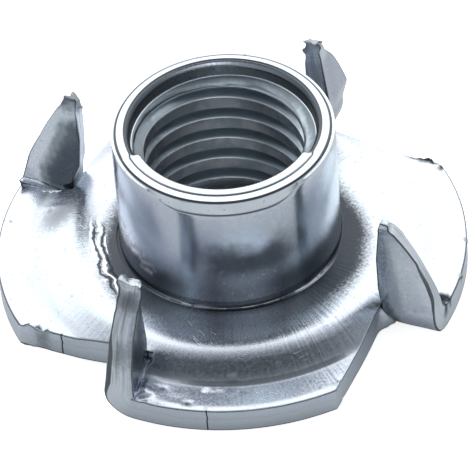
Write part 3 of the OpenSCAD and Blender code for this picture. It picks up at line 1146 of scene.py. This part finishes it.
g = crack = Group("crack", {"Azimuth": 0.0, "Width": 0.05}, {"Crack": "Float"})
cx, cy, cz = g.split(g.spun(g.place(), g.times(g.inputs["Azimuth"], -1.0)))
wobble = g.times(g.noise(g.join(0.0, 0.0, cz), 1.5, 2.0), 0.2)
aside = g.math("ABSOLUTE", g.minus(g.plus(cy, wobble), 0.1))
near_line = g.ramp(g.math("DIVIDE", aside, g.inputs["Width"]), 0.5, 1.0, 1.0, 0.0)
g.give(Crack=g.times(near_line, g.math("GREATER_THAN", cx, 0.0)))

# %% [markdown]
# A sheared edge has three zones: near the punch the steel is smeared smooth with fine streaks
# across it, below that it broke and is rough and grey, and a thin line parts the two.

# %% Group: zones of a sheared edge
g = shear = Group(
    "shear_zones", {"Grain": 5.0}, {"Smeared": "Float", "Relief": "Float", "Line": "Float"}
)
bx, by, depth = g.split(g.attribute("blank", "Vector"))
tall = g.join(bx, by, g.times(depth, 0.12))
streaks = g.noise(tall, g.times(g.inputs["Grain"], 1.6), 4.0)
torn = g.noise(g.join(bx, by, g.times(depth, 1.5)), g.inputs["Grain"], 5.0)
past_border = g.minus(depth, g.plus(0.42, g.times(g.noise(tall, 1.1, 2.0), 0.32)))
smeared = g.ramp(past_border, -0.05, 0.05)
g.give(
    Smeared=smeared,
    Relief=g.blend(smeared, torn, streaks, "FLOAT"),
    Line=g.ramp(g.math("ABSOLUTE", past_border), 0.01, 0.05, 1.0, 0.0),
)

# %% [markdown]
# The shears also comb the cut edges of the folded prongs: fine dark streaks run along them. They
# are a noise that is stretched along the blank and close-set through its thickness.

# %% Group: streaks along the prongs' cut edges
g = combing = Group("combing", {"Along": 0.4, "Across": 9.0}, {"Streak": "Float"})
bx, by, depth = g.split(g.attribute("blank", "Vector"))
along, across = g.inputs["Along"], g.inputs["Across"]
lengthwise = g.join(g.times(bx, along), g.times(by, along), g.times(depth, across))
streak = g.ramp(g.noise(lengthwise, 1.0, 6.0), 0.40, 0.74)
g.give(Streak=g.times(streak, g.ramp(g.height(), 1.4, 2.6)))

# %% [markdown]
# A finish is a Principled shader: its fixed values are set on its own sockets, and the groups
# give what varies. What all finishes share is put on last: the painted shade on the creased
# prongs, dirt and painted shade over them, and one bump for the whole relief.

# %% What every finish starts from
FACET_SHADE_COLOUR, DIRT_AND_SHADE = (0.10, 0.12, 0.14, 1), (0.045, 0.055, 0.065, 1)


class Finish(Tree):
    """A zinc material: its groups feed one Principled shader."""

    def __init__(self, name):
        self.material = bpy.data.materials.new("plated_" + name)
        self.material.use_nodes = True
        super().__init__(self.material.node_tree)
        self.shader = self.tree.nodes["Principled BSDF"]
        self.shader.inputs["Metallic"].default_value = 1.0
        mesh.materials.append(self.material)

    def wear(self, colour, roughness, height, strength, distance=0.01):
        """Joins colour, roughness and the height of the bump to the shader, with dirty patches and
        painted shade on top.
        """
        # painted shade on the creased faces of the prongs
        colour = self.blend(self.attribute("facet_shade"), colour, FACET_SHADE_COLOUR)
        # dirt together with the painted shade that the mesh stores
        dirt_and_shade = self.group(grime_and_shade)["Dirt"]
        colour = self.blend(self.times(dirt_and_shade, 0.93), colour, DIRT_AND_SHADE)
        roughness = self.plus(roughness, self.times(dirt_and_shade, 0.15))
        bump = {"Height": height, "Strength": strength, "Distance": distance * MM}
        self.put(self.shader.inputs["Base Color"], colour)
        self.put(self.shader.inputs["Roughness"], roughness)
        self.put(self.shader.inputs["Normal"], self.node("Bump", bump).outputs["Normal"])
        print("finish", self.material.name, "has", len(self.tree.nodes), "nodes")

# %% [markdown]
# The two faces of the sheet keep the blank's bright plating. Dies left radial marks on the dome,
# deepest on one side, and its slope has painted shade in front. A bump alone would show marks as
# relief only, so the pits change the colour as well, the film round the barrel darkens it with
# painted shade, and the ripples get painted shade in their troughs and a painted highlight on
# their crests.

# %% Plate: both faces of the sheet
TOOLED_SIDE = (0.95, -0.31, 0.0)
PLATE_PITS, SLOPE_SHADE = (0.30, 0.33, 0.37, 1), (0.16, 0.18, 0.20, 1)
FILM_AND_SHADE_COLOUR, RIPPLE_HIGHLIGHT = (0.028, 0.034, 0.042, 1), (0.92, 0.94, 0.95, 1)
SLOPE = (9.45, 9.75, 10.85, 11.05)  # radii where the dome's side starts and ends, softly
HOLLOW = (10.2, 10.6, 10.9, 11.4)  # and its rubbed foot

f = Finish("plate")
clouds = f.group(plating, Size=0.3)
grain = f.group(grit, Fineness=9.0)
far = f.length(f.from_axis())
colour = f.blend(f.times(grain["Pits"], 0.45), clouds["Tint"], PLATE_PITS)
# painted shade on the front of the dome's slope
shaded_slope = f.times(f.band(far, *SLOPE), f.ramp(f.facing(FRONT_SIDE), 0.72, 0.93, 0.0, 0.62))
colour = f.blend(shaded_slope, colour, SLOPE_SHADE)
foot_film_and_shade = f.group(film_and_shade, Reach=2.2, Softness=1.1)
burnt_and_shaded, ripple = foot_film_and_shade["Film"], foot_film_and_shade["Ripple"]
# the film as painted shade, then the ripples: painted shade in troughs, painted highlight on crests
colour = f.blend(f.times(burnt_and_shaded, 0.95), colour, FILM_AND_SHADE_COLOUR)
colour = f.blend(f.ramp(ripple, 0.3, 0.8, 0.0, 0.9), colour, FILM_AND_SHADE_COLOUR)
colour = f.blend(f.ramp(ripple, -0.8, -0.4, 0.9, 0.0), colour, RIPPLE_HIGHLIGHT)
rubbed = f.larger(burnt_and_shaded, f.band(far, *HOLLOW))
rough = f.plus(0.20, f.times(clouds["Dullness"], 0.08), f.times(rubbed, 0.12))
marks = f.group(draw_marks, Count=60.0, Along=0.2)["Mark"]
marks = f.times(marks, f.ramp(f.facing(TOOLED_SIDE), 0.5, 0.97, 0.42, 1.3))
line = f.group(scratches, Angle=0.6, Spread=0.60)["Line"]
cross = f.group(scratches, Angle=2.2, Spread=0.62)["Line"]
height = f.plus(f.times(grain["Grain"], 0.7), marks)
height = f.minus(height, f.times(f.larger(line, cross), 0.8))
height = f.minus(height, f.times(ripple, 2.5))
f.wear(colour, rough, height, 0.5)

# %% [markdown]
# The barrel was drawn through a ring, so it is the brightest part, with broad soft streaks from
# top to bottom. The film and its painted shade climb a little way up from its foot, a thin painted
# highlight runs round the corner in front, its left side gets painted shade, and a painted
# reflection of the dark dome spreads over its front. That reflection could be painted as a
# texture, but a noise added to the height gives it a ragged top without one.

# %% Barrel: drawn wall
PAINTED_SHADE_SIDE = (0.545, -0.839, 0.0)
DRAWN_STREAK, LEFT_SHADE = (0.50, 0.54, 0.64, 1), (0.44, 0.45, 0.58, 1)
HIGHLIGHT_BRIGHT = (0.85, 0.88, 0.90, 1)
HIGHLIGHT_Z, HIGHLIGHT_HALF_WIDTH = DOME_Z + 0.05, 0.035
REFLECTION_FULL_Z, REFLECTION_TOP_Z, RAGGEDNESS = 7.4, 9.4, 3.4

f = Finish("barrel")
clouds = f.group(plating, Size=0.25)
grain = f.group(grit, Fineness=14.0)
broad = f.group(draw_marks, Count=2.6, Along=0.10)["Mark"]
front = f.facing(PAINTED_SHADE_SIDE)
colour = f.blend(f.times(broad, 0.35), clouds["Tint"], DRAWN_STREAK)
# painted shade on the barrel's left side
colour = f.blend(f.ramp(f.facing(RIPPLED_SIDE), 0.55, 0.90, 0.0, 0.45), colour, LEFT_SHADE)
# the corner film as painted shade, climbing a little way up the barrel
at_corner = f.ramp(front, 0.5, 0.9, 0.97, 0.55)
above_corner = f.ramp(front, 0.35, 0.85, 0.05, 0.55)
climb_up = f.ramp(f.height(), DOME_Z + 0.15, DOME_Z + 0.45)
strength = f.blend(climb_up, at_corner, above_corner, "FLOAT")
burnt_and_shaded = f.group(film_and_shade, Reach=1.7, Softness=0.6)["Corner"]
colour = f.blend(f.times(burnt_and_shaded, strength), colour, FILM_AND_SHADE_COLOUR)
# a thin painted highlight round the corner in front
off_line = f.math("ABSOLUTE", f.minus(f.height(), HIGHLIGHT_Z))
dashes = f.group(draw_marks, Count=7.0, Along=0.5)["Mark"]
highlight_line = f.times(f.ramp(off_line, 0.015, HIGHLIGHT_HALF_WIDTH, 1.0, 0.0), f.ramp(dashes, 0.45, 0.60))
colour = f.blend(f.times(highlight_line, f.ramp(front, 0.60, 0.85)), colour, HIGHLIGHT_BRIGHT)
# a painted reflection of the dark dome over the barrel's front
ragged = f.times(f.noise(f.place(), 0.6, 5.0), RAGGEDNESS)
painted_dark = f.ramp(f.plus(f.height(), ragged), REFLECTION_FULL_Z, REFLECTION_TOP_Z, 1.0, 0.0)
painted_dark = f.times(painted_dark, f.ramp(front, 0.86, 0.96))
painted_dark = f.times(painted_dark, f.plus(0.74, f.times(grain["Pits"], -0.35)))
colour = f.blend(painted_dark, colour, FILM_AND_SHADE_COLOUR)
marks = f.times(f.group(draw_marks, Count=26.0, Along=0.05)["Mark"], 0.02)
height = f.plus(marks, f.times(grain["Grain"], 0.2), f.times(broad, 0.9))
f.wear(colour, f.plus(0.17, marks), height, 0.5)

# %% [markdown]
# The band under the rim was squeezed, not drawn, so it is pale and matt. The rim itself was
# ironed flat and is the smoothest part of all. They use the same groups with other values, which
# keeps the two finishes related, as they are on one plated part.

# %% Band: the narrowed, matt ring under the rim
BAND_PITS = (0.20, 0.22, 0.25, 1)

f = Finish("band")
clouds = f.group(plating, Size=0.5, Cool=(0.74, 0.80, 0.84, 1), Lilac=(0.70, 0.74, 0.80, 1))
grain = f.group(grit, Fineness=9.0)
marks = f.group(draw_marks, Count=60.0, Along=0.4)["Mark"]
colour = f.blend(f.times(grain["Pits"], 0.6), clouds["Tint"], BAND_PITS)
f.wear(colour, f.plus(0.30, f.times(marks, 0.12)), grain["Grain"], 0.6, 0.03)

# %% Rim: ironed flat by the tool
RIM_PITS = (0.42, 0.45, 0.50, 1)

f = Finish("rim")
clouds = f.group(plating, Size=0.6)
grain = f.group(grit, Fineness=8.0)
colour = f.blend(f.times(grain["Pits"], 0.3), clouds["Tint"], RIM_PITS)
f.wear(colour, f.plus(0.16, f.times(clouds["Dullness"], 0.06)), grain["Grain"], 0.3)

# %% [markdown]
# The thread's roots and flanks get painted shade and its crests stay light, so the bore's colour
# follows the distance from the axis. Smears of cutting oil darken the crests in places.

# %% Bore: tapped, with painted shade down in the thread
CREST, ROOT_SHADE = (0.84, 0.88, 0.91, 1), (0.40, 0.47, 0.52, 1)

f = Finish("bore")
clouds = f.group(plating, Size=0.8)
grain = f.group(grit, Fineness=10.0)
marks = f.group(draw_marks, Count=9.0, Along=1.5)["Mark"]
crest = f.blend(f.times(marks, 0.5), CREST, clouds["Tint"])
# painted shade in the thread's roots and flanks
root_shade = f.ramp(f.length(f.from_axis()), BORE_R + 0.01, BORE_R + 0.12)
smears = f.ramp(f.noise(f.place(), 0.8, 5.0), 0.46, 0.60, 0.0, 0.5)
colour = f.blend(f.larger(root_shade, smears), crest, ROOT_SHADE)
height = f.plus(f.times(marks, 0.2), f.times(grain["Grain"], 0.4))
f.wear(colour, f.plus(0.28, f.times(marks, 0.08)), height, 0.4)

# %% [markdown]
# Sheared edges are the dullest part. They show the zones of the cut, two hairline cracks in the
# rim, and the combing on the prongs. The zones follow the sheet's thickness, which the mesh
# stores, so they go round every corner of the outline.

# %% Sheared: cut and torn edges
BROKEN_STEEL, BORDER_LINE = (0.66, 0.71, 0.75, 1), (0.26, 0.28, 0.31, 1)
CRACK_DARK, COMBED_DARK = (0.04, 0.05, 0.06, 1), (0.17, 0.20, 0.22, 1)
CRACKS_AT = [math.radians(-73.0), math.radians(-121.4)]

f = Finish("sheared")
clouds = f.group(plating, Size=0.7)
zones = f.group(shear, Grain=4.0)
colour = f.blend(zones["Smeared"], BROKEN_STEEL, clouds["Tint"])
colour = f.blend(f.times(zones["Line"], 0.15), colour, BORDER_LINE)
cracks = f.larger(*[f.group(crack, Azimuth=a, Width=0.05)["Crack"] for a in CRACKS_AT])
colour = f.blend(cracks, colour, CRACK_DARK)
combed = f.group(combing)["Streak"]
colour = f.blend(f.times(combed, 0.60), colour, COMBED_DARK)
height = f.plus(zones["Relief"], f.times(f.group(grit, Fineness=11.0)["Grain"], 0.5))
height = f.minus(height, f.times(combed, 0.4))
f.wear(colour, f.ramp(zones["Smeared"], 0.0, 1.0, 0.40, 0.32), height, 0.6, 0.03)

# %% [markdown]
# The nut is one rigid piece. It rides on the model's one body and stands for the plain solid,
# which stays for collision only.

# %% Put the nut in the place of the plain solid
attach(nut, "root")
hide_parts(NODE)
print("finishes:", [m.name for m in mesh.materials])

# %% [markdown]
# Bright metal shows its surroundings more than itself, so the floor is part of the lighting. It
# is a plain pale disc. Seen by the camera it glows to clean white, and only the patch under the
# nut stays unlit, so that the bore doesn't show a bright hole. The metal still reflects the plain
# pale floor.

# %% Floor
FLOOR_R, FLOOR_Z = 1.5, -0.00002
GLOW, GLOW_FROM = 0.80, 8 * MM

bpy.ops.mesh.primitive_circle_add(
    vertices=128, radius=FLOOR_R, fill_type="NGON", location=(0, 0, FLOOR_Z)
)
floor = bpy.context.object
floor.name = "floor"
pale = bpy.data.materials.new("pale_floor")
pale.use_nodes = True
floor.data.materials.append(pale)
f = Tree(pale.node_tree)
shader = f.tree.nodes["Principled BSDF"]
shader.inputs["Base Color"].default_value = (0.90, 0.91, 0.92, 1)
shader.inputs["Roughness"].default_value = 0.7
shader.inputs["Emission Color"].default_value = (1, 1, 1, 1)
far = f.length(f.node("TexCoord", {}).outputs["Object"])
seen = f.node("LightPath", {}).outputs["Is Camera Ray"]
glow = f.times(seen, f.math("GREATER_THAN", far, GLOW_FROM), GLOW)
f.put(shader.inputs["Emission Strength"], glow)
print("floor:", 2 * FLOOR_R, "m across")

# %% [markdown]
# The camera is set by angles, not by a point to look at, so that each of them keeps its meaning:
# how far round the nut it stands, how high, and how it is rolled. It stands far off behind a long
# lens, which keeps the barrel's sides nearly parallel.

# %% Camera
AROUND, ABOVE, ROLLED = math.radians(26.2), math.radians(44.0), math.radians(-4.497)
UNIT = 0.0012  # metres; the camera's own lengths are counted in it
FAR, AIM_RIGHT, AIM_UP = 300.0, 0.077, 1.244  # from the origin, along the camera's own axes
SCALE, FRAME_WIDTH, SENSOR = 22.073, 470, 36  # pixels to a unit, pixels across, chip in mm

turn_z = Matrix.Rotation(AROUND, 3, "Z")
back = turn_z @ Vector((0, -math.cos(ABOVE), math.sin(ABOVE)))
level_right = turn_z @ Vector((1, 0, 0))
level_up = turn_z @ Vector((0, math.sin(ABOVE), math.cos(ABOVE)))
right = math.cos(ROLLED) * level_right + math.sin(ROLLED) * level_up
up = -math.sin(ROLLED) * level_right + math.cos(ROLLED) * level_up
lens = bpy.data.cameras.new("camera")
camera = bpy.data.objects.new("camera", lens)
bpy.context.scene.collection.objects.link(camera)
camera.matrix_world = Matrix((right, up, back)).transposed().to_4x4()
camera.matrix_world.translation = (FAR * back + AIM_RIGHT * right + AIM_UP * up) * UNIT
lens.sensor_width = SENSOR
lens.lens = SCALE * FAR * SENSOR / FRAME_WIDTH
lens.clip_start, lens.clip_end = 0.01, 10
bpy.context.scene.camera = camera
print("lens:", round(lens.lens), "mm")

# %% [markdown]
# Lamps would leave small hot spots on polished zinc. A studio lights it with large soft boxes, and
# here they are painted on the world, each as a soft patch round a direction: a bright one behind
# the nut, a strip in front, and dark cards between them, which draw the dark lines that give
# metal its form.

# %% World and lights
FRONT_RIGHT = (0.83, -0.56, 0.0)
BEHIND = -Vector(back).xy.to_3d()
BEHIND_AND_UP = BEHIND + Vector((0, 0, 0.2))
OVERHEAD = (0.0, 0.0, 1.0)
SIDE_LIGHT, BACK_LIGHT = (0.56, 0.59, 0.63, 1), (1.75, 1.75, 1.75, 1)
STRIP_LIGHT, DARK = (1.50, 1.54, 1.60, 1), (0.13, 0.145, 0.16, 1)

world = bpy.data.worlds.new("studio")
bpy.context.scene.world = world
world.use_nodes = True
world.node_tree.nodes.clear()
w = Tree(world.node_tree)


def patch(direction, low, high):
    """Soft patch round a direction: 0 where its cosine is low, 1 where it is high."""
    view = w.node("TexCoord", {}).outputs["Generated"]
    cosine = w.vector("DOT_PRODUCT", view, Vector(direction).normalized(), "Value")
    return w.ramp(cosine, low, high)


strip = patch(FRONT_RIGHT, 0.45, 0.68)
under_strip = w.times(strip, patch(OVERHEAD, 0.62, 0.48))
card = w.times(patch(BEHIND, 0.10, -0.05), patch(BEHIND, -0.60, -0.50), patch(OVERHEAD, 0.55, 0.84))
sky = w.blend(patch(BEHIND_AND_UP, 0.38, 0.60), SIDE_LIGHT, BACK_LIGHT)
for where, light in [(strip, STRIP_LIGHT), (under_strip, DARK), (card, DARK)]:
    sky = w.blend(where, sky, light)
background = w.node("Background", {"Color": sky}).outputs[0]
w.put(w.node("OutputWorld", {}).inputs["Surface"], background)
bpy.context.scene.view_settings.view_transform = "Standard"
print("world:", len(w.tree.nodes), "nodes")
